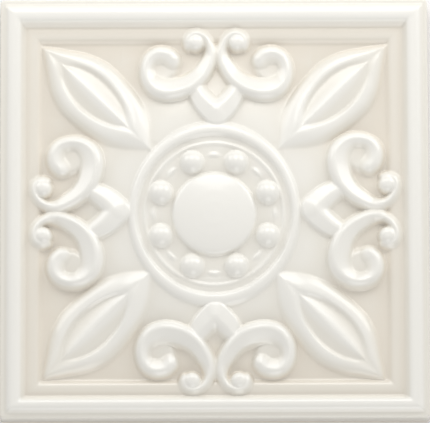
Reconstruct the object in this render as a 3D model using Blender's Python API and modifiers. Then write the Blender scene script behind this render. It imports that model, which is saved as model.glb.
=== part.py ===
# Decor tile: one fired ceramic square with a moulded frame and a rosette in relief.
# Metres, +Z up. The origin is the middle of the flat back, and the relief faces +Z.

import math

import bmesh
import bpy
from mathutils import Matrix, Vector

mm = 0.001

# The square and its frame, all in millimetres: half widths from the middle, heights from the back.
# The moulding's inner lines lie a little nearer the lower side than the upper one.
half_side = 75.0
corner_radius = 1.2
ledge_height = 8.5
ledge_inner = 73.4
bead_outer = 73.0
bead_inner = 67.2
bead_height = 10.3
bead_foot = 8.7
cove = (66.4, 8.0)
band_outer = 65.4
band_inner = 61.6
band_height = 7.8
panel_half = 60.1
panel_height = 6.4
opening_drop = 1.0
edge_round = 0.5
corner_segments = 4
edge_segments = 2
bead_steps = 9

# The rosette, turned about its own centre
rosette_centre = (-0.15, -2.8)
boss_crown = 14.0
boss_height = 13.2
boss_fall = 1.6
boss_dome_steps = (0.0, 0.4, 0.7, 1.0)
boss_round = 1.4
recess_inner = 15.6
recess_outer = 18.2
recess_height = 8.3
plate_inner = 20.6
plate_inner_height = 10.0
plate_outer = 25.0
plate_height = 10.4
plate_round = 0.8
groove_radius = 25.9
groove_height = 8.8
rim_radius = 28.4
rim_height = 11.3
rim_round = 1.0
skirt_radius = 32.0
skirt_height = 10.25

# The ground falls from the rosette's skirt to the panel
cushion_radius = 60.0
cushion_edge_height = 6.3
cushion_rings = 6
turning_foot = 4.0
turning_steps = 36

# Balls and pearls stand on the plate, turn and turn about
ball_count = 8
ball_ring_radius = 20.1
ball_radius = 4.6
ball_height = 8.3
pearl_ring_radius = 20.8
pearl_radius = 1.5
pearl_height = 9.4

# A scroll's rib, from the neck between the small curls, down its stem and round the volute:
# x, y, rib radius, rise of its top over the ground. It stands above the middle, right of its pair's axis.
scroll_route = (
    (1.9, 63.8, 1.9, 2.4), (2.1, 59.6, 2.6, 2.9), (2.7, 55.4, 3.1, 3.1), (4.3, 51.4, 3.4, 3.3),
    (7.0, 48.0, 3.9, 3.4), (10.4, 45.4, 4.4, 3.5), (14.2, 43.9, 4.8, 3.5), (18.0, 43.6, 4.9, 3.5),
    (21.2, 45.0, 4.6, 3.5), (23.3, 48.0, 4.1, 3.5), (24.0, 51.4, 3.8, 3.5), (23.4, 54.0, 3.4, 3.4),
)
neck = ((0.0, 53.5, 2.0, 1.5), (0.0, 59.0, 2.4, 1.8), (0.0, 63.5, 2.0, 1.5))
volute_turn = (20.8, 55.0, 4.2, 3.4)
volute_end = (17.4, 54.7, 4.2, 3.2)
curl_knob = (7.0, 61.3, 4.9, 4.0)
bud_arm = ((8.4, 43.6, 3.9, 2.2), (6.4, 40.8, 4.5, 2.4), (3.6, 38.4, 5.1, 2.5), (0.3, 37.0, 5.4, 2.5))
bud_tip = (0.0, 36.9, 5.5, 2.5)

# A leaf's rib, from its outer tip to its inner end: along the diagonal, across it, rib radius, rise
leaf_edge = (
    (84.2, -0.3, 0.9, 0.9), (79.0, 1.6, 2.6, 1.9), (74.0, 4.2, 3.4, 2.4), (67.0, 6.6, 4.5, 2.7),
    (59.0, 7.7, 4.8, 2.8), (51.0, 6.7, 4.7, 2.7), (44.0, 5.0, 4.6, 2.5), (38.5, 2.8, 4.1, 2.0),
    (34.2, 0.2, 2.9, 1.1),
)
leaf_ends = ((84.0, 1.5, 0.9), (34.6, 3.3, 1.2))
spindle_along = 58.5
spindle_half_length = 15.0
spindle_half_width = 3.4
spindle_base = 6.6
spindle_rise = 3.4

# Each motif was pressed a little off its place: turn in degrees, shift to its right and outwards.
# A pair of scrolls is also stretched sideways, its small curls stand farther apart and its bud farther out.
scroll_places = (
    (0.0, 0.8, -0.9, 0.985, 0.2, 0.0),
    (90.0, 1.0, 0.1, 1.023, 1.8, 0.0),
    (180.0, -0.2, 1.6, 1.025, 0.8, 2.5),
    (270.0, -1.5, -0.5, 1.0, 1.3, 0.0),
)
leaf_places = ((45.0, 1.3, -0.2), (135.0, 1.7, 0.5), (225.0, -0.7, 0.9), (315.0, -1.3, -0.9))

rib_flatness = 0.75
ball_sides = 14
pearl_sides = 8
form_sides = 10

# How near two points must be to be one, how far from the outside a corner's edge may lie, and the
# angles in degrees past which an edge is rounded and past which it is drawn sharp
weld_distance = 0.001
corner_margin = 0.01
rounded_angle = 80
sharp_angle = 35


def clear_scene():
    for old in list(bpy.data.objects):
        bpy.data.objects.remove(old, do_unlink=True)


def new_collection(name):
    collection = bpy.data.collections.new(name)
    bpy.context.scene.collection.children.link(collection)
    return collection


def glaze_material():
    material = bpy.data.materials.new("ivory_glaze")
    material.use_nodes = True
    shader = material.node_tree.nodes["Principled BSDF"]
    shader.inputs["Base Color"].default_value = (0.80, 0.78, 0.72, 1.0)
    shader.inputs["Roughness"].default_value = 0.22
    shader.inputs["Metallic"].default_value = 0.0
    return material


def arc(centre_x, centre_z, radius_x, radius_z, start, end, count):
    # points of an elliptical arc in a section; angles in degrees, 90 is up
    points = []
    for step in range(count):
        angle = math.radians(start + (end - start) * step / (count - 1))
        points.append((centre_x + radius_x * math.cos(angle), centre_z + radius_z * math.sin(angle)))
    return points


def turned(name, section, steps, collection, corner=False):
    # A section of distance and height, turned about Z. With corner set it runs out along the
    # diagonal, so that four steps make a square whose half width is the distance.
    mesh = bpy.data.meshes.new(name)
    corners = [(out * mm, out * mm if corner else 0.0, up * mm) for out, up in section]
    mesh.from_pydata(corners, [(i, i + 1) for i in range(len(corners) - 1)], [])
    piece = bpy.data.objects.new(name, mesh)
    collection.objects.link(piece)
    screw = piece.modifiers.new("turn", "SCREW")
    screw.axis = "Z"
    screw.steps = steps
    screw.render_steps = steps
    screw.use_merge_vertices = True
    screw.merge_threshold = corner_margin * mm
    return piece


def applied(piece):
    # the same piece with its modifiers made into its mesh
    bpy.context.view_layer.update()
    evaluated = piece.evaluated_get(bpy.context.evaluated_depsgraph_get())
    mesh = bpy.data.meshes.new_from_object(evaluated)
    piece.modifiers.clear()
    piece.data = mesh
    return piece


def frame_section():
    # from the middle of the panel out over the frame, down the side and along the flat back
    half_bead = (bead_outer - bead_inner) / 2
    bead_middle = (bead_outer + bead_inner) / 2
    section = [(0.0, panel_height), (panel_half, panel_height)]
    section += [(band_inner, band_height), (band_outer, band_height), cove]
    section += arc(bead_middle, bead_foot, half_bead, bead_height - bead_foot, 180, 0, bead_steps)
    section += [(ledge_inner, ledge_height), (half_side, ledge_height), (half_side, 0.0), (0.0, 0.0)]
    return section


def round_edges(shape, edges, radius, segments):
    bmesh.ops.bevel(shape, geom=edges, offset=radius * mm, segments=segments, profile=0.5, affect="EDGES")


def make_slab(collection):
    slab = applied(turned("relief_tile", frame_section(), 4, collection, corner=True))
    shape = bmesh.new()
    shape.from_mesh(slab.data)
    for vert in shape.verts:
        inside = (ledge_inner - max(abs(vert.co.x), abs(vert.co.y)) / mm) / (ledge_inner - cove[0])
        if vert.co.z > 0.0:
            vert.co.y -= opening_drop * mm * min(max(inside, 0.0), 1.0)
    almost = (half_side - corner_margin) * mm
    at_corner = [vert for vert in shape.verts if min(abs(vert.co.x), abs(vert.co.y)) > almost]
    upright = [edge for edge in shape.edges if all(vert in at_corner for vert in edge.verts)]
    round_edges(shape, upright, corner_radius, corner_segments)
    square = math.radians(rounded_angle)
    around = [edge for edge in shape.edges if edge.is_manifold and edge.calc_face_angle() > square]
    round_edges(shape, around, edge_round, edge_segments)
    shape.to_mesh(slab.data)
    shape.free()
    return slab


def cushion_height(distance):
    # the ground's height at a distance from the rosette's middle
    part = min(max((distance - skirt_radius) / (cushion_radius - skirt_radius), 0.0), 1.0)
    return skirt_height + (cushion_edge_height - skirt_height) * part * part * (3.0 - 2.0 * part)


def rosette_section():
    # from the top of the boss out to the cushion's edge, down into the slab and back to the axis
    section = [(boss_crown * part, boss_height - boss_fall * part ** 2) for part in boss_dome_steps]
    section += arc(boss_crown, boss_height - boss_fall - boss_round, boss_round, boss_round, 60, 0, 3)
    section += [(recess_inner, recess_height), (recess_outer, recess_height)]
    section += [(plate_inner, plate_inner_height)]
    plate_edge = (plate_outer - plate_round, plate_height - plate_round)
    section += arc(*plate_edge, plate_round, plate_round, 90, 15, 3)
    section += [(groove_radius, groove_height)]
    section += arc(rim_radius, rim_height - rim_round, rim_round, rim_round, 150, 30, 3)
    for ring in range(cushion_rings + 1):
        reach = skirt_radius + (cushion_radius - skirt_radius) * ring / cushion_rings
        section.append((reach, cushion_height(reach)))
    section += [(cushion_radius, turning_foot), (0.0, turning_foot)]
    return section


def place(turn, along, out, stretch=1.0):
    # from a motif above the middle to the same motif stretched, shifted and turned clockwise
    shift = Matrix.Translation((along * mm, out * mm, 0.0))
    return Matrix.Rotation(math.radians(-turn), 4, "Z") @ shift @ Matrix.Diagonal((stretch, 1.0, 1.0, 1.0))


def middle_height(matrix, x, y, radius, rise):
    # how high the middle of a flattened round form lies, for its top to rise that much over the ground
    spot = matrix @ Vector((x * mm, y * mm, 0.0)) / mm
    distance = math.hypot(spot.x - rosette_centre[0], spot.y - rosette_centre[1])
    return max(panel_height, cushion_height(distance)) + rise - rib_flatness * radius


def make_form_ball(name, matrix, x, y, radius, rise, collection):
    # a flattened ball standing in the ground
    seat = Matrix.Translation((x * mm, y * mm, middle_height(matrix, x, y, radius, rise) * mm))
    flat = Matrix.Diagonal((1.0, 1.0, rib_flatness, 1.0))
    make_ball(name, radius, matrix @ seat @ flat, form_sides, collection)


def make_ball(name, radius, matrix, sides, collection):
    shape = bmesh.new()
    bmesh.ops.create_uvsphere(shape, u_segments=sides, v_segments=sides // 2 + 1, radius=radius * mm)
    mesh = bpy.data.meshes.new(name)
    shape.to_mesh(mesh)
    shape.free()
    mesh.transform(matrix)
    collection.objects.link(bpy.data.objects.new(name, mesh))


def make_rib(name, route, matrix, collection, mirrored=False):
    # a round rib on a smooth route over the ground, flattened
    curve = bpy.data.curves.new(name, "CURVE")
    curve.dimensions = "3D"
    curve.bevel_depth = mm
    curve.bevel_resolution = 2
    curve.resolution_u = 2
    curve.use_fill_caps = True
    spline = curve.splines.new("BEZIER")
    spline.bezier_points.add(len(route) - 1)
    side = -1.0 if mirrored else 1.0
    for point, (x, y, radius, rise) in zip(spline.bezier_points, route):
        height = middle_height(matrix, side * x, y, radius, rise)
        point.co = (side * x * mm, y * mm, height / rib_flatness * mm)
        point.handle_left_type = "AUTO"
        point.handle_right_type = "AUTO"
        point.radius = radius
    source = bpy.data.objects.new(name, curve)
    collection.objects.link(source)
    bpy.context.view_layer.update()
    evaluated = source.evaluated_get(bpy.context.evaluated_depsgraph_get())
    mesh = bpy.data.meshes.new_from_object(evaluated)
    shape = bmesh.new()
    shape.from_mesh(mesh)
    bmesh.ops.remove_doubles(shape, verts=shape.verts, dist=weld_distance * mm)
    bmesh.ops.recalc_face_normals(shape, faces=shape.faces)
    shape.to_mesh(mesh)
    shape.free()
    mesh.transform(matrix @ Matrix.Diagonal((1.0, 1.0, rib_flatness, 1.0)))
    bpy.data.objects.remove(source, do_unlink=True)
    collection.objects.link(bpy.data.objects.new(name, mesh))


def shifted(point, across=0.0, along=0.0):
    x, y, radius, rise = point
    return x + across, y + along, radius, rise


def make_scroll_pair(number, matrix, apart, bud_shift, collection):
    arm = [shifted(point, along=bud_shift) for point in bud_arm]
    for mirrored in (False, True):
        hand, side = ("left", -1.0) if mirrored else ("right", 1.0)
        make_rib(f"scroll_{hand}_{number}", scroll_route, matrix, collection, mirrored)
        make_rib(f"bud_{hand}_{number}", arm, matrix, collection, mirrored)
        knob = shifted(curl_knob, across=apart)
        rounds = (("volute_turn", volute_turn), ("volute_end", volute_end), ("curl_knob", knob))
        for name, (x, y, radius, rise) in rounds:
            make_form_ball(f"{name}_{hand}_{number}", matrix, side * x, y, radius, rise, collection)
    make_rib(f"neck_{number}", neck, matrix, collection)
    make_form_ball(f"bud_tip_{number}", matrix, *shifted(bud_tip, along=bud_shift), collection)


def make_leaf(number, matrix, collection):
    upward = [(across, along, radius, rise) for along, across, radius, rise in leaf_edge]
    for mirrored in (False, True):
        make_rib(f"leaf_edge_{number}_{int(mirrored)}", upward, matrix, collection, mirrored)
    for end, (along, radius, rise) in enumerate(leaf_ends):
        make_form_ball(f"leaf_end_{number}_{end}", matrix, 0.0, along, radius, rise, collection)
    seat = Matrix.Translation((0.0, spindle_along * mm, spindle_base * mm))
    shape = Matrix.Diagonal((spindle_half_width, spindle_half_length, spindle_rise, 1.0))
    make_ball(f"leaf_spindle_{number}", 1.0, matrix @ seat @ shape, form_sides, collection)


def make_rosette(collection):
    x, y = rosette_centre
    turning = applied(turned("rosette", rosette_section(), turning_steps, collection))
    half_step = Matrix.Rotation(math.pi / turning_steps, 4, "Z")
    turning.data.transform(Matrix.Translation((x * mm, y * mm, 0.0)) @ half_step)
    for number in range(ball_count):
        for name, offset, ring, radius, height, sides in (
            ("ball", 0.5, ball_ring_radius, ball_radius, ball_height, ball_sides),
            ("pearl", 0.0, pearl_ring_radius, pearl_radius, pearl_height, pearl_sides),
        ):
            angle = 2 * math.pi * (number + offset) / ball_count
            out_x = x + ring * math.cos(angle)
            out_y = y + ring * math.sin(angle)
            seat = Matrix.Translation((out_x * mm, out_y * mm, height * mm))
            make_ball(f"{name}_{number}", radius, seat, sides, collection)


def make_tile():
    clear_scene()
    part = new_collection("decor_tile")
    forms = new_collection("relief_forms")
    tile = make_slab(part)
    make_rosette(forms)
    for number, (turn, along, out, stretch, apart, bud_shift) in enumerate(scroll_places):
        make_scroll_pair(number, place(turn, along, out, stretch), apart, bud_shift, forms)
    for number, (turn, along, out) in enumerate(leaf_places):
        make_leaf(number, place(turn, along, out), forms)
    for form in forms.objects:
        form.hide_render = True
        form.display_type = "WIRE"
    union = tile.modifiers.new("relief", "BOOLEAN")
    union.operation = "UNION"
    union.solver = "EXACT"
    union.operand_type = "COLLECTION"
    union.collection = forms
    tile.data.materials.append(glaze_material())
    tile.data.shade_smooth()
    tile.data.set_sharp_from_angle(angle=math.radians(sharp_angle))


make_tile()
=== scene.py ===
# Decor tile: the looks. One glazed, pressed ceramic square lying on a pale table, seen from above.
# The relief is worked out as heights over a fine raster, then laid into one closed mesh.

import math

import bpy
import numpy as np
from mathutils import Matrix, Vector


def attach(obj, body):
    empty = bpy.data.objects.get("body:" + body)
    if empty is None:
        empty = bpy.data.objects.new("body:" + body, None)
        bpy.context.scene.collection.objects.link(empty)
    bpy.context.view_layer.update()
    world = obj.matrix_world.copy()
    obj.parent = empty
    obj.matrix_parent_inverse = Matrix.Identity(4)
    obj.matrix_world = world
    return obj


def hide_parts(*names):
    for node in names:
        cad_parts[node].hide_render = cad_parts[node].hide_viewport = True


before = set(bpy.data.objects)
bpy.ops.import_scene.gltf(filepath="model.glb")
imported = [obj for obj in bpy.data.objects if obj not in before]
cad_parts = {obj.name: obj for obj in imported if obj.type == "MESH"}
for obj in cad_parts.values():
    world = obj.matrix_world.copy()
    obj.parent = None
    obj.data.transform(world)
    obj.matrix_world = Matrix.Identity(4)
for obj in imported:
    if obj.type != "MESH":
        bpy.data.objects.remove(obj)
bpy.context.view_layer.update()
print("frame loaded:", sorted(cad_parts))

mm = 0.001
halfSide = 75.0  # mm, of the square


# camera
shot = {
    "tilt": 13.2,               # degrees off straight down, towards the near edge
    "turn": -0.19,              # degrees round the tile
    "distance": 2.7,            # metres
    "aim": (0.17, -1.38, 8.0),  # mm
    "widthSeen": 150.45,        # mm across the picture at the aim point
    "sensor": 36.0,             # mm
    "clip": (0.05, 20.0),       # metres
}


def makeCamera(s):
    data = bpy.data.cameras.new("camera")
    data.sensor_width = s["sensor"]
    data.lens = s["sensor"] * s["distance"] / (s["widthSeen"] * mm)
    data.clip_start, data.clip_end = s["clip"]
    camera = bpy.data.objects.new("camera", data)
    bpy.context.scene.collection.objects.link(camera)
    tilt, turn = math.radians(s["tilt"]), math.radians(s["turn"])
    back = Vector((math.sin(tilt) * math.sin(turn), -math.sin(tilt) * math.cos(turn), math.cos(tilt)))
    camera.location = Vector(s["aim"]) * mm + back * s["distance"]
    camera.rotation_euler = (tilt, 0.0, turn)
    bpy.context.scene.camera = camera


makeCamera(shot)
print("camera placed")


# curves and rasters
def smoothThrough(points, perSpan):
    # a smooth curve through all rows of numbers, as many columns as they have
    p = np.array(points, float)
    p = np.vstack([2 * p[0] - p[1], p, 2 * p[-1] - p[-2]])
    t = np.linspace(0.0, 1.0, perSpan, endpoint=False)[:, None]
    rows = []
    for i in range(1, len(p) - 2):
        a, b, c, d = p[i - 1], p[i], p[i + 1], p[i + 2]
        rows.append(0.5 * (2 * b + (c - a) * t + (2 * a - 5 * b + 4 * c - d) * t ** 2
                           + (3 * b - 3 * c + d - a) * t ** 3))
    rows.append(p[-2][None, :])
    return np.vstack(rows)


def softened(field, sigma, step):
    # the field blurred by a round brush three sigmas wide to each side, edges held
    reach = max(1, int(math.ceil(3 * sigma / step)))
    k = np.exp(-0.5 * (np.arange(-reach, reach + 1) * step / sigma) ** 2)
    k /= k.sum()
    for axis in (0, 1):
        pads = [(0, 0), (0, 0)]
        pads[axis] = (reach, reach)
        wide = np.pad(field, pads, mode="edge")
        out = np.zeros_like(field)
        for i, weight in enumerate(k):
            out += weight * (wide[i:i + field.shape[0], :] if axis == 0 else wide[:, i:i + field.shape[1]])
        field = out
    return field


reading = {"reach": 112.0, "step": 0.05, "sigmas": 4.0}  # how a section is read, in mm


def sectionHeights(distance, points, sigma):
    # a drawn section read at each distance, its corners rounded
    line = np.array(sorted(points), float)
    step, sigmas = reading["step"], reading["sigmas"]
    fine = np.arange(0.0, reading["reach"], step)
    level = np.interp(fine, line[:, 0], line[:, 1])
    k = np.exp(-0.5 * (np.arange(-sigmas, sigmas + 0.01, step / sigma)) ** 2)
    wide = np.concatenate([np.full(len(k) // 2, level[0]), level, np.full(len(k) // 2, level[-1])])
    return np.interp(distance, fine, np.convolve(wide, k / k.sum(), "valid")[:len(fine)])


def softMax(a, b, blend):
    h = np.clip(0.5 + 0.5 * (a - b) / blend, 0.0, 1.0)
    return b + (a - b) * h + blend * h * (1.0 - h)


def easing(t):
    t = np.clip(t, 0.0, 1.0)
    return t * t * (3.0 - 2.0 * t)


raster = {"step": 0.2, "softness": 0.26}
axis = np.arange(-halfSide, halfSide + 0.01, raster["step"])
xs, ys = np.meshgrid(axis, axis)


def turnedInto(x, y, turn):
    # the same places read from a motif that stands above the middle, turned clockwise
    a = math.radians(turn)
    return x * math.cos(a) - y * math.sin(a), x * math.sin(a) + y * math.cos(a)


# moulded frame and ground
rim = {
    # where the moulding's lines run on a side: measured from the middle, and in the section below
    "sideways": ((-75.0, -75.0), (-73.3, -73.3), (-66.3, -66.3), (66.3, 66.3), (73.3, 73.3), (75.0, 75.0)),
    "upwards": ((-75.0, -75.0), (-73.2, -73.3), (-67.3, -66.3), (65.3, 66.3), (73.3, 73.3), (75.0, 75.0)),
    # distance from the middle, height
    "section": ((75.0, 8.5), (73.5, 8.5), (73.1, 8.7), (72.5, 9.4), (71.8, 9.95), (70.8, 10.25), (69.6, 10.3),
                (68.6, 10.1), (67.8, 9.6), (67.0, 8.6), (66.4, 7.8), (65.8, 7.65), (65.2, 7.8), (63.5, 7.8),
                (62.2, 7.7), (61.4, 7.35), (60.6, 6.65), (59.8, 6.35), (0.0, 6.35)),
    "rounding": 0.25, "mitre": 0.4,
}
ground = {
    # distance from the middle of the rosette, height: a low cushion under the ornament
    "section": ((0.0, 10.2), (28.0, 10.2), (32.0, 10.1), (38.0, 9.5), (44.0, 8.5), (50.0, 7.5), (55.0, 6.8),
                (60.0, 6.45), (110.0, 6.35)),
    "rounding": 2.5,
}


def frameHeights():
    across, up = np.array(rim["sideways"]), np.array(rim["upwards"])
    wide = np.abs(np.interp(xs, across[:, 0], across[:, 1]))
    high = np.abs(np.interp(ys, up[:, 0], up[:, 1]))
    return sectionHeights(softMax(wide, high, rim["mitre"]), rim["section"], rim["rounding"])


def groundHeights(x, y):
    return sectionHeights(np.hypot(x, y), ground["section"], ground["rounding"])


# rosette
rosette = {
    "centre": (-0.15, -2.8),
    # radius, height
    "section": ((0.0, 13.2), (4.0, 13.1), (8.0, 12.7), (11.0, 12.2), (13.0, 11.75), (14.2, 11.35),
                (14.9, 10.6), (15.2, 9.0), (15.7, 7.5), (17.8, 7.2), (18.9, 7.9), (20.0, 9.3), (20.8, 9.9),
                (21.8, 9.6), (23.0, 9.6), (24.0, 10.4), (24.7, 10.5), (25.2, 9.7), (25.6, 8.3), (26.2, 8.2),
                (26.7, 9.9), (27.3, 10.9), (28.2, 11.35), (29.2, 11.35), (30.1, 11.15), (30.9, 10.85),
                (31.5, 10.3), (32.0, 9.6)),
    "rounding": 0.3,
    # past this radius the rim is that much narrower at the sides than above and below
    "rimFrom": 26.8, "rimNarrow": 0.45,
    # and past this one the whole gets that much taller than wide, over so many mm
    "tallFrom": 21.5, "tall": 0.05, "tallOver": 4.0,
    "balls": 8, "ballRing": 20.1, "ballRadius": 4.6, "ballCentre": 8.3,
    "lipRadius": 21.4, "lipRise": 0.75, "lipAlong": 1.3, "lipAcross": 2.6,
    "creaseTurn": 11.5, "creaseDepth": 0.35, "creaseHalf": 0.4, "creaseFrom": 20.2, "creaseTo": 24.4,
}


def rosetteHeights(x, y):
    far = np.hypot(x, y)
    angle = np.arctan2(y, x)
    narrow = 1.0 + rosette["rimNarrow"] * np.cos(angle) ** 2
    read = far + np.maximum(far - rosette["rimFrom"], 0.0) * (narrow - 1.0)
    taller = rosette["tall"] * np.sin(angle) ** 2
    read /= 1.0 + taller * easing((far - rosette["tallFrom"]) / rosette["tallOver"])
    heights = sectionHeights(read, rosette["section"], rosette["rounding"])
    heights[read > rosette["section"][-1][0]] = 0.0
    share = 2 * math.pi / rosette["balls"]
    between = (angle + share / 2) % share - share / 2
    lip = rosette["lipRise"] * np.exp(-((far - rosette["lipRadius"]) / rosette["lipAlong"]) ** 2
                                      - (far * between / rosette["lipAcross"]) ** 2)
    # a fine crease on both sides of each lip
    astray = far * (np.abs(between) - math.radians(rosette["creaseTurn"]))
    crease = rosette["creaseDepth"] * np.exp(-(astray / rosette["creaseHalf"]) ** 2)
    crease *= easing(far - rosette["creaseFrom"]) * easing(rosette["creaseTo"] - far)
    beside = angle % share - share / 2
    away = np.hypot(far * np.cos(beside) - rosette["ballRing"], far * np.sin(beside))
    ball = rosette["ballCentre"] + np.sqrt(np.clip(rosette["ballRadius"] ** 2 - away ** 2, 0.0, None))
    ball[away > rosette["ballRadius"]] = 0.0
    return np.maximum(heights + lip - crease, ball)


# leaves
leaf = {
    # along the diagonal: half width, rim, groove; heights over the ground of spine, groove and rim; roundness
    "rows": (
        (29.9, 0.0, 0.0, 0.0, 0.3, 0.3, 0.3, 0.0),
        (32.0, 2.2, 0.0, 0.0, 0.9, 0.9, 0.9, 0.0),
        (35.0, 4.9, 0.2, 0.0, 1.7, 1.7, 1.7, 0.1),
        (38.0, 7.2, 0.8, 0.0, 2.3, 2.2, 2.3, 0.3),
        (41.0, 8.9, 1.6, 0.0, 2.7, 2.5, 2.8, 0.5),
        (43.5, 10.0, 2.9, 0.5, 2.8, 2.4, 2.9, 0.7),
        (46.5, 10.8, 4.4, 2.5, 3.2, 2.2, 3.0, 0.9),
        (50.5, 11.6, 6.0, 4.3, 3.6, 2.1, 3.1, 1.0),
        (55.5, 12.3, 7.1, 5.4, 3.9, 2.1, 3.1, 1.0),
        (60.0, 12.6, 7.5, 5.7, 3.9, 2.1, 3.1, 1.0),
        (64.0, 12.4, 7.2, 5.4, 3.8, 2.1, 3.1, 1.0),
        (68.5, 11.2, 6.0, 4.2, 3.5, 2.1, 3.0, 1.0),
        (72.0, 9.7, 4.5, 2.3, 3.1, 2.2, 2.8, 0.9),
        (74.5, 8.2, 3.4, 0.5, 2.7, 2.3, 2.7, 0.8),
        (77.0, 6.4, 2.3, 0.0, 2.4, 2.3, 2.6, 0.7),
        (80.0, 4.4, 1.1, 0.0, 2.2, 2.1, 2.3, 0.6),
        (83.0, 2.2, 0.2, 0.0, 1.8, 1.8, 1.8, 0.5),
        (85.4, 0.0, 0.0, 0.0, 0.8, 0.8, 0.8, 0.4),
    ),
    "perSpan": 10, "facetHollow": 1.2, "spineRound": 0.12, "slopeDrop": 0.2,
    "least": 0.01,  # mm, so that nothing is divided by zero
    # turn in degrees, shift to its right and shift outwards
    "places": ((45.0, 1.3, -0.2), (135.0, 1.7, 0.5), (225.0, -0.7, 0.9), (315.0, -1.3, -0.9)),
}


def leafHeights(x, y):
    # height over the ground; y runs outwards along the leaf
    fine = smoothThrough(leaf["rows"], leaf["perSpan"])
    width, crest, groove, spine, low, high, full = [
        np.interp(y, fine[:, 0], np.maximum(fine[:, i], 0.0), 0.0, 0.0) for i in range(1, 8)]
    across = np.abs(x)
    r, least = leaf["spineRound"], leaf["least"]
    reach = np.clip(across / np.maximum(groove, least), 0.0, 1.0)
    reach = (np.sqrt(reach ** 2 + r ** 2) - r) / (math.sqrt(1.0 + r ** 2) - r)
    facet = low + (spine - low) * np.clip(1.0 - reach, 0.0, 1.0) ** leaf["facetHollow"]
    bank = low + (high - low) * easing((across - groove) / np.maximum(crest - groove, least))
    part = np.clip((across - crest) / np.maximum(width - crest, least), 0.0, 1.0)
    slope = high * (1.0 - part ** (1.0 + full)) ** (1.0 - leaf["slopeDrop"] * full)
    found = np.where(across < groove, facet, np.where(across < crest, bank, slope))
    return np.where(across < width, found, 0.0)


# scrolls
scroll = {
    # the crest from the neck between the curls down the stem and round the volute:
    # x, y, outer reach, inner reach, height
    "route": (
        (1.9, 58.8, 2.4, 2.4, 3.0), (1.8, 57.0, 2.8, 3.0, 3.2), (2.2, 54.6, 3.0, 3.4, 3.3),
        (3.4, 51.4, 2.9, 4.2, 3.5), (5.8, 47.6, 2.9, 4.7, 3.7), (9.4, 44.5, 3.2, 5.4, 3.8),
        (13.6, 42.8, 3.4, 6.0, 3.8), (18.0, 42.4, 3.5, 6.2, 3.8), (21.8, 43.8, 3.5, 5.6, 3.8),
        (24.4, 47.2, 3.2, 4.2, 3.8), (24.9, 51.2, 3.0, 3.6, 3.8), (23.5, 54.8, 3.1, 3.9, 3.8),
        (20.6, 56.5, 3.3, 4.8, 3.8), (17.4, 56.0, 3.5, 4.8, 3.7), (15.6, 54.4, 3.4, 4.5, 3.5),
    ),
    # how far the inner face falls, where its edge begins, how round the outside is and how fast one
    # turns into the other
    "perSpan": 8, "innerFall": 0.55, "edge": 0.72, "shoulder": 0.7, "turning": 0.8,
    "least": 0.001,  # mm, so that nothing is divided by zero
    # the shallow floor of the volute's eye
    "floor": {"at": (18.8, 51.4), "radius": 7.0, "top": 1.8},
    # the small curl: the stem's end laid round a ball
    "curlRoute": (
        (1.9, 56.4, 2.4, 2.6, 3.1), (2.3, 59.8, 2.4, 2.3, 3.3), (3.7, 62.5, 2.3, 2.2, 3.5),
        (6.4, 63.9, 2.2, 2.4, 3.6), (9.1, 63.1, 2.1, 2.4, 3.5), (10.2, 60.9, 1.8, 2.2, 3.3),
        (9.8, 59.0, 1.6, 2.0, 3.0),
    ),
    "ball": {"at": (7.2, 60.5), "radius": 3.5, "top": 4.2, "fullness": 2.6},
    "curlFrom": 1.5, "curlOver": 4.0,  # where the curl begins to move apart, and over how many mm
    # the bud under the stems
    "budRoute": (
        (7.8, 44.4, 3.8, 3.8, 2.6), (5.8, 41.0, 4.1, 4.6, 2.8), (3.2, 37.9, 4.3, 5.4, 2.9),
        (0.0, 35.3, 4.4, 6.2, 2.9),
    ),
    # turn in degrees, shift along the side and away from the middle, stretch along the side, and how
    # much farther apart the small curls and farther out the bud stand
    "places": (
        (0.0, 0.8, -0.9, 0.985, 0.2, 0.0), (90.0, 1.0, 0.1, 1.023, 1.8, 0.0),
        (180.0, -0.2, 1.6, 1.025, 0.8, 2.5), (270.0, -1.5, -0.5, 1.0, 1.3, 0.0),
    ),
    # how softly the two hands of a form, the forms, the ball and the floor run together
    "routeBlend": 0.9, "curlBlend": 0.3, "budBlend": 0.5, "formBlend": 0.4, "ballBlend": 0.25,
    "floorBlend": 0.5,
    "window": (34.0, 24.0, 70.0),  # half width, from and to: where a pair may reach
}


def strokeHeights(x, y, route):
    # a ridge on a smooth route: steep and rounded outside, a broad falling face inside
    fine = smoothThrough(route, scroll["perSpan"])
    lineX, lineY, outer, inner, crest = fine.T
    alongX, alongY = np.gradient(lineX), np.gradient(lineY)
    length = np.hypot(alongX, alongY)
    edge, fall = scroll["edge"], scroll["innerFall"]
    best = np.zeros_like(x)
    for i in range(len(fine)):
        dx, dy = x - lineX[i], y - lineY[i]
        away = np.hypot(dx, dy)
        lean = (alongX[i] * dy - alongY[i] * dx) / (length[i] * np.maximum(away, scroll["least"]))
        side = easing(0.5 - scroll["turning"] * lean)
        part = np.clip(away / (inner[i] + (outer[i] - inner[i]) * side), 0.0, 1.0)
        outside = (1.0 - part ** 2) ** scroll["shoulder"]
        inside = (1.0 - fall * part) * (1.0 - easing((part - edge) / (1.0 - edge)))
        best = np.maximum(best, crest[i] * (inside + (outside - inside) * side))
    return best


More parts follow.
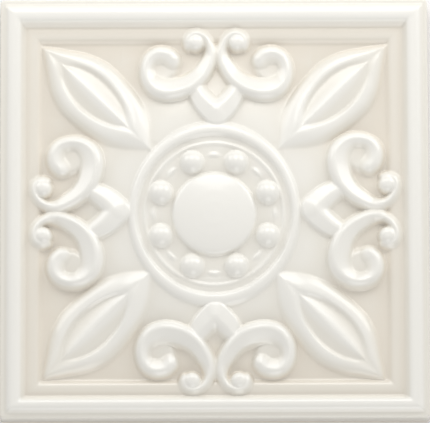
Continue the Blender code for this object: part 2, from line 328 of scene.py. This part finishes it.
def scrollHeights(x, y, apart, lower):
    # height over the ground of a pair that stands above the middle
    best = np.zeros_like(x)
    curl = np.array(scroll["curlRoute"])
    curl[:, 0] += apart * easing((curl[:, 0] - scroll["curlFrom"]) / scroll["curlOver"])
    bud = np.array(scroll["budRoute"])
    bud[:, 1] += lower
    for route, blend in ((scroll["route"], "routeBlend"), (curl, "curlBlend"), (bud, "budBlend")):
        one = softMax(strokeHeights(x, y, route), strokeHeights(-x, y, route), scroll[blend])
        best = softMax(best, one, scroll["formBlend"])
    ball = scroll["ball"]
    away = np.hypot(np.abs(x) - ball["at"][0] - apart, y - ball["at"][1])
    button = ball["top"] * (1.0 - np.clip(away / ball["radius"], 0.0, 1.0) ** ball["fullness"]) ** 0.5
    floor = scroll["floor"]
    away = np.hypot(np.abs(x) - floor["at"][0], y - floor["at"][1])
    bowl = floor["top"] * easing(2.0 - 2.0 * away / floor["radius"])
    found = softMax(softMax(best, button, scroll["ballBlend"]), bowl, scroll["floorBlend"])
    return found * (np.maximum(np.maximum(best, button), bowl) > 0.0)


# the whole relief
laying = {"sinking": 0.5, "blend": 0.3, "underFrame": 0.2, "groundBlend": 0.4, "rosetteBlend": 0.2}


def laidOn(heights, seat, rise):
    # a form let a little into the ground, so that nothing shows where it has no height
    return softMax(heights, seat + rise - laying["sinking"], laying["blend"])


def reliefHeights():
    x, y = xs - rosette["centre"][0], ys - rosette["centre"][1]
    under = groundHeights(x, y)
    heights = softMax(frameHeights(), under - laying["underFrame"], laying["groundBlend"])
    for turn, along, out in leaf["places"]:
        u, v = turnedInto(xs, ys, turn)
        heights = laidOn(heights, under, leafHeights(u - along, v - out))
    side, fromY, toY = scroll["window"]
    for turn, along, out, stretch, apart, lower in scroll["places"]:
        u, v = turnedInto(xs, ys, turn)
        u, v = (u - along) / stretch, v - out
        window = (np.abs(u) < side) & (v > fromY) & (v < toY)
        rise = scrollHeights(u[window], v[window], apart, lower)
        heights[window] = laidOn(heights[window], under[window], rise)
    return softMax(heights, rosetteHeights(x, y), laying["rosetteBlend"])


heights = softened(reliefHeights(), raster["softness"], raster["step"])
print(f"relief raster {heights.shape} from {heights.min():.2f} to {heights.max():.2f} mm")


# mesh
body = {
    "cornerRadius": 1.3, "edgeRadius": 0.6, "spacing": 0.25, "footBevel": 0.35,
    # the raster's closer lines beside the edge, and how far in the even ones begin
    "edgeLines": (0.0, 0.02, 0.08, 0.18, 0.32, 0.48, 0.7, 0.95), "evenFrom": 1.2,
    "sideRows": (7.2, 5.6, 4.0, 2.4, 1.2, 0.35), "faces": 190000,
}


def readRaster(field, x, y):
    # the field between its raster points
    last = len(axis) - 1.001
    u = np.clip((x + halfSide) / raster["step"], 0, last)
    v = np.clip((y + halfSide) / raster["step"], 0, last)
    i, j = u.astype(int), v.astype(int)
    u, v = u - i, v - j
    return ((field[j, i] * (1 - u) + field[j, i + 1] * u) * (1 - v)
            + (field[j + 1, i] * (1 - u) + field[j + 1, i + 1] * u) * v)


def makeTileMesh():
    half, corner, edge = halfSide, body["cornerRadius"], body["edgeRadius"]
    close = half - np.array(body["edgeLines"])
    even = half - body["evenFrom"]
    count = int(round(even * 2 / body["spacing"])) + 1
    lines = np.concatenate([-close, np.linspace(-even, even, count), close[::-1]])
    n = len(lines)
    gx, gy = np.meshgrid(lines, lines)
    gx, gy = gx.ravel(), gy.ravel()
    # round the four corners of the plan
    a, b = np.abs(gx) - (half - corner), np.abs(gy) - (half - corner)
    inCorner = (a > 0) & (b > 0)
    scale = np.where(inCorner, np.maximum(a, b) / np.maximum(np.hypot(a, b), 1e-9), 1.0)
    px = np.where(inCorner, np.sign(gx) * (half - corner + a * scale), gx)
    py = np.where(inCorner, np.sign(gy) * (half - corner + b * scale), gy)
    inside = np.where(inCorner, corner - np.maximum(a, b), np.minimum(half - np.abs(gx), half - np.abs(gy)))
    drop = edge - np.sqrt(np.clip(edge ** 2 - (edge - np.clip(inside, 0, edge)) ** 2, 0, None))
    pz = readRaster(heights, px, py) - drop
    top = np.column_stack([px, py, pz])
    index = np.arange(n * n).reshape(n, n)
    quads = np.stack([index[:-1, :-1], index[:-1, 1:], index[1:, 1:], index[1:, :-1]], -1).reshape(-1, 4)
    # the outline, walked counter-clockwise, is drawn down the side and closed over the back
    ring = np.concatenate([index[0, :-1], index[:-1, -1], index[-1, :0:-1], index[:0:-1, 0]])
    rows = [ring]
    points = [top]
    start = n * n
    for level in body["sideRows"]:
        points.append(np.column_stack([px[ring], py[ring], np.full(len(ring), level)]))
        rows.append(start + np.arange(len(ring)))
        start += len(ring)
    inset = 1.0 - body["footBevel"] / half
    points.append(np.column_stack([px[ring] * inset, py[ring] * inset, np.zeros(len(ring))]))
    rows.append(start + np.arange(len(ring)))
    sides = []
    for upper, lower in zip(rows[:-1], rows[1:]):
        sides.append(np.stack([upper, lower, np.roll(lower, -1), np.roll(upper, -1)], -1))
    faces = [tuple(f) for f in np.vstack([quads] + sides).tolist()] + [tuple(rows[-1][::-1].tolist())]
    mesh = bpy.data.meshes.new("glazedRelief")
    mesh.from_pydata((np.vstack(points) * mm).tolist(), [], faces)
    mesh.update()
    return mesh


def applyModifiers(piece):
    bpy.context.view_layer.update()
    made = bpy.data.meshes.new_from_object(piece.evaluated_get(bpy.context.evaluated_depsgraph_get()))
    piece.modifiers.clear()
    piece.data = made


tile = bpy.data.objects.new("glazedRelief", makeTileMesh())
bpy.context.scene.collection.objects.link(tile)
tile.modifiers.new("triangles", "TRIANGULATE")
thin = tile.modifiers.new("thin", "DECIMATE")
total = sum(len(p.vertices) - 2 for p in tile.data.polygons)
thin.ratio = min(1.0, body["faces"] / total)
applyModifiers(tile)
tile.data.shade_smooth()
print("tile mesh:", total, "triangles thinned to", len(tile.data.polygons))


# material nodes
class Wire:  # an output socket; sums on it add Math nodes
    def __init__(self, shading, socket):
        self.shading = shading
        self.socket = socket

    def math(self, operation, *values):
        return self.shading.add("ShaderNodeMath", {"operation": operation}, dict(enumerate(values)))

    def __add__(self, other):
        return self.math("ADD", self, other)

    def __radd__(self, other):
        return self.math("ADD", other, self)

    def __sub__(self, other):
        return self.math("SUBTRACT", self, other)

    def __rsub__(self, other):
        return self.math("SUBTRACT", other, self)

    def __mul__(self, other):
        return self.math("MULTIPLY", self, other)

    def __rmul__(self, other):
        return self.math("MULTIPLY", other, self)

    def over(self, low, high):  # 0 at low, 1 at high
        return self.shading.add("ShaderNodeMapRange", {"interpolation_type": "SMOOTHSTEP"},
                                {"Value": self, "From Min": low, "From Max": high})


class Shading:  # one material and its nodes
    def __init__(self, name):
        self.material = bpy.data.materials.new(name)
        self.material.use_nodes = True
        self.nodes = self.material.node_tree.nodes
        self.links = self.material.node_tree.links
        self.shader = self.nodes["Principled BSDF"]

    def add(self, kind, settings=None, sockets=None, out=0):
        node = self.nodes.new(kind)
        for key, value in (settings or {}).items():
            setattr(node, key, value)
        for key, value in (sockets or {}).items():
            self.feed(node.inputs[key], value)
        return Wire(self, node.outputs[out])

    def feed(self, socket, value):
        if isinstance(value, Wire):
            self.links.new(value.socket, socket)
        else:
            socket.default_value = value

    def finish(self, **sockets):
        for key, value in sockets.items():
            self.feed(self.shader.inputs[key.replace("_", " ")], value)
        return self.material

    def mixed(self, factor, one, other):
        return self.add("ShaderNodeMix", {"data_type": "RGBA"}, {0: factor, 6: one, 7: other}, out=2)

    def noise(self, place, scaleAndDetail):
        scale, detail = scaleAndDetail
        return self.add("ShaderNodeTexNoise", sockets={"Vector": place, "Scale": scale, "Detail": detail})

    def bump(self, strengthAndDepth, height, **under):
        strength, depth = strengthAndDepth
        return self.add("ShaderNodeBump", sockets={"Strength": strength, "Distance": depth,
                                                   "Height": height, **under})


glaze = {
    "thick": (0.80, 0.775, 0.71, 1.0),
    # the thin colour is thin glaze on crests and high places, and painted light there too
    "thin": (0.86, 0.85, 0.81, 1.0),
    # the pooled colour is glaze pooled in hollows, and painted shade in recesses, beside the frame and in
    # deep places
    "pooledAndShaded": (0.76, 0.704, 0.614, 1.0),
    "bisque": (0.74, 0.66, 0.55, 1.0),
    "roughness": 0.32, "bareRougher": 0.5, "roughnessVaries": 0.06,
    "coat": 0.5, "coatRoughness": 0.12, "ior": 1.5,
    # metres: below this height the side is bare, how far that line wanders and half its blur
    "glazeFoot": 0.0011, "footWander": 0.0008, "footBlur": 0.0002,
    "clouds": (28.0, 3.0), "specks": (900.0, 2.0),       # noise scale and detail
    "waves": (0.12, 0.0004), "grain": (0.06, 0.00005),   # bump strength and depth in metres
    "pooledAndShadedOver": (0.4, 0.9), "thinAndLitUnder": (0.4, 0.05),  # from and to, of the pooled glaze with its painted shade
    "blotches": (0.35, 0.1),                             # how strong, and how much everywhere
    # how much glaze gathers and painted shade darkens: at the middle height, for each mm below the surface
    # around, for each mm of depth
    "even": 0.36, "perHollowPoolAndShade": 0.24, "perDepthPoolAndShade": 0.12, "middleHeight": 8.5, "reach": 3.0, "near": 0.4,
    # distance from the middle, reach, how much more pooled glaze and painted shade lie there and below which
    # height
    "besideFramePoolAndShade": (61.0, 5.0, 0.16, 8.0),
    "recessPoolAndShade": (17.2, 1.7, 0.75, 9.6),
    # how much lies on the side faces: these begin so far in and reach up to this height
    "side": 0.4, "sideWithin": 0.5, "sideUnder": 7.5,
}


def glazeMaterial():
    s = Shading("ivoryGlaze")
    place = s.add("ShaderNodeTexCoord", out="Object")
    parts = s.add("ShaderNodeSeparateXYZ", sockets={0: place}, out="Z")
    broad = s.noise(place, glaze["clouds"])
    fine = s.noise(place, glaze["specks"])
    poolAndShadeLevel = s.add("ShaderNodeAttribute", {"attribute_name": "poolingAndShade"}, out="Fac")
    foot, blur = glaze["glazeFoot"], glaze["footBlur"]
    bare = 1 - (parts + (broad - 0.5) * glaze["footWander"]).over(foot - blur, foot + blur)
    # darker where glaze pools and where shade is painted in, lighter on crests as thin glaze and painted
    # light
    tone = s.mixed(poolAndShadeLevel.over(*glaze["pooledAndShadedOver"]), glaze["thick"], glaze["pooledAndShaded"])
    tone = s.mixed(poolAndShadeLevel.over(*glaze["thinAndLitUnder"]), tone, glaze["thin"])
    strong, everywhere = glaze["blotches"]
    tone = s.mixed((broad - 0.5) * strong + everywhere, tone, glaze["thick"])
    colour = s.mixed(bare, tone, glaze["bisque"])
    waves = s.bump(glaze["waves"], broad)
    grain = s.bump(glaze["grain"], fine, Normal=waves)
    rough = glaze["roughness"] + bare * glaze["bareRougher"] + (fine - 0.5) * glaze["roughnessVaries"]
    return s.finish(Base_Color=colour, Roughness=rough, Normal=grain, Coat_Weight=(1 - bare) * glaze["coat"],
                    Coat_Roughness=glaze["coatRoughness"], IOR=glaze["ior"])


def paintPoolingAndShade(piece):
    # glaze gathers, and painted shade darkens, where the surface lies deep, or lower than what is round it;
    # high places and crests come out lighter, as thin glaze and painted light
    around = softened(heights, glaze["reach"], raster["step"])
    near = softened(heights, glaze["near"], raster["step"])
    poolAndShade = (glaze["even"] + (around - near) * glaze["perHollowPoolAndShade"]
              + (glaze["middleHeight"] - near) * glaze["perDepthPoolAndShade"])
    places = (
        ("besideFramePoolAndShade", np.maximum(np.abs(xs), np.abs(ys))),
        ("recessPoolAndShade", np.hypot(xs - rosette["centre"][0], ys - rosette["centre"][1])),
    )
    # more pooled glaze and painted shade in the panel beside the frame and in the recess round the boss
    for name, far in places:
        radius, reach, more, top = glaze[name]
        poolAndShade += more * np.exp(-((far - radius) / reach) ** 2) * (near < top)
    poolAndShade = np.clip(poolAndShade, 0.0, 1.0)
    co = np.zeros(len(piece.data.vertices) * 3)
    piece.data.vertices.foreach_get("co", co)
    co = co.reshape(-1, 3) / mm
    values = readRaster(poolAndShade, co[:, 0], co[:, 1])
    outside = np.maximum(np.abs(co[:, 0]), np.abs(co[:, 1])) > halfSide - glaze["sideWithin"]
    values[outside & (co[:, 2] < glaze["sideUnder"])] = glaze["side"]
    layer = piece.data.attributes.new("poolingAndShade", "FLOAT", "POINT")
    layer.data.foreach_set("value", values.astype(np.float32))


paintPoolingAndShade(tile)
tile.data.materials.clear()
tile.data.materials.append(glazeMaterial())
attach(tile, "root")
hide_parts("relief_tile")
print("glaze on")


# floor and light
table = {
    "size": 3.0, "height": -0.0002,  # metres
    "colour": (0.86, 0.86, 0.86, 1.0), "cloudColour": (0.82, 0.82, 0.82, 1.0), "roughness": 0.6,
    "clouds": (6.0, 4.0), "cloudShare": 0.1,
}


def makeFloor():
    mesh = bpy.data.meshes.new("floor")
    h, z = table["size"] / 2, table["height"]
    mesh.from_pydata([(-h, -h, z), (h, -h, z), (h, h, z), (-h, h, z)], [], [(0, 1, 2, 3)])
    floor = bpy.data.objects.new("floor", mesh)
    bpy.context.scene.collection.objects.link(floor)
    s = Shading("paleTable")
    place = s.add("ShaderNodeTexCoord", out="Object")
    cloud = s.noise(place, table["clouds"])
    shade = s.mixed(cloud * table["cloudShare"], table["colour"], table["cloudColour"])
    mesh.materials.append(s.finish(Base_Color=shade, Roughness=table["roughness"]))


lamps = {
    # turn from the upper side and height over the table in degrees, distance, size and power
    "window": {"turn": 0.0, "lift": 42.0, "distance": 0.65, "size": 0.4, "power": 1.27},
    "windowRight": {"turn": 45.0, "lift": 24.0, "distance": 0.65, "size": 0.42, "power": 1.36},
    "windowLeft": {"turn": -45.0, "lift": 24.0, "distance": 0.65, "size": 0.42, "power": 1.03},
    "nearFill": {"turn": 170.0, "lift": 28.0, "distance": 1.4, "size": 1.0, "power": 5.9},
    "colour": (1.0, 0.99, 0.97),
}
sky = {"colour": (1.0, 0.995, 0.985, 1.0), "strength": 0.51}


def makeLamp(name, s):
    data = bpy.data.lights.new(name, "AREA")
    data.shape = "DISK"
    data.size = s["size"]
    data.energy = s["power"]
    data.color = lamps["colour"]
    lamp = bpy.data.objects.new(name, data)
    turn, lift = math.radians(s["turn"]), math.radians(s["lift"])
    towards = Vector((math.sin(turn) * math.cos(lift), math.cos(turn) * math.cos(lift), math.sin(lift)))
    lamp.location = towards * s["distance"]
    lamp.rotation_euler = (-towards).to_track_quat("-Z", "Y").to_euler()
    bpy.context.scene.collection.objects.link(lamp)


def makeSky(s):
    world = bpy.data.worlds.new("studio")
    world.use_nodes = True
    world.node_tree.nodes["Background"].inputs["Color"].default_value = s["colour"]
    world.node_tree.nodes["Background"].inputs["Strength"].default_value = s["strength"]
    bpy.context.scene.world = world


makeFloor()
for name in ("window", "windowRight", "windowLeft", "nearFill"):
    makeLamp(name, lamps[name])
makeSky(sky)
bpy.context.scene.view_settings.view_transform = "Standard"
print("floor and light placed")
